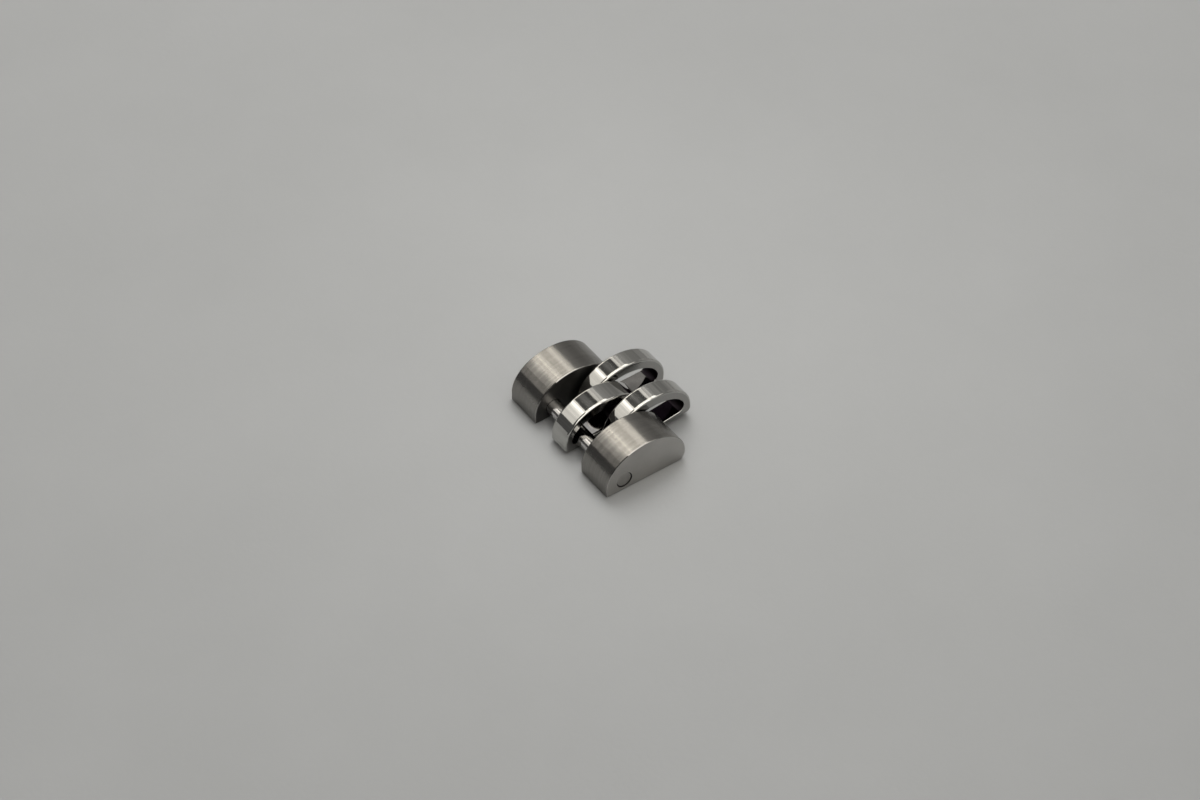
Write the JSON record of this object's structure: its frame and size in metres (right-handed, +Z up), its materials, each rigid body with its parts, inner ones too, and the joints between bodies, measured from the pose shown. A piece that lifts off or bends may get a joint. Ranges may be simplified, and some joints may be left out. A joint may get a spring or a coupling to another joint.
{
  "type": "watch bracelet link",
  "caption": "Link of a metal watch bracelet: half-round outer links and a hollow centre bead on two pins, with loose hollow flank beads behind.",
  "frame": {"origin": "middle of the flat underside of the centre bead, level with the outer links' undersides", "axes": "+X across the bracelet, +Y along the bracelet towards the loose flank beads, +Z up through the rounded side"},
  "size_m": [0.011, 0.0094, 0.0035],
  "materials": {
    "satin_steel": "satin, brushed along the bracelet",
    "polished_steel": "mirror polished outside, plain inside",
    "pin_steel": "drawn and polished"
  },
  "bodies": {
    "frame": {"outer_link_right": "satin_steel", "outer_link_left": "satin_steel", "centre_bead": "polished_steel", "hinge_pin": "pin_steel"},
    "flank_right": {"flank_bead_right": "polished_steel"},
    "flank_left": {"flank_bead_left": "polished_steel"},
    "pin": {"link_pin": "pin_steel"}
  },
  "joints": [
    {"name": "right_bead_hinge", "type": "hinge", "parent": "frame", "child": "flank_right", "pos_m": [0, 0.00216, 0.00102], "axis": [1, 0, 0], "range_deg": [-160, 148]},
    {"name": "left_bead_hinge", "type": "hinge", "parent": "frame", "child": "flank_left", "pos_m": [0, 0.00216, 0.00102], "axis": [1, 0, 0], "range_deg": [-153, 144]},
    {"name": "link_pin_slide", "type": "slide", "parent": "frame", "child": "pin", "axis": [1, 0, 0], "range_m": [0, 0.0112]}
  ]
}
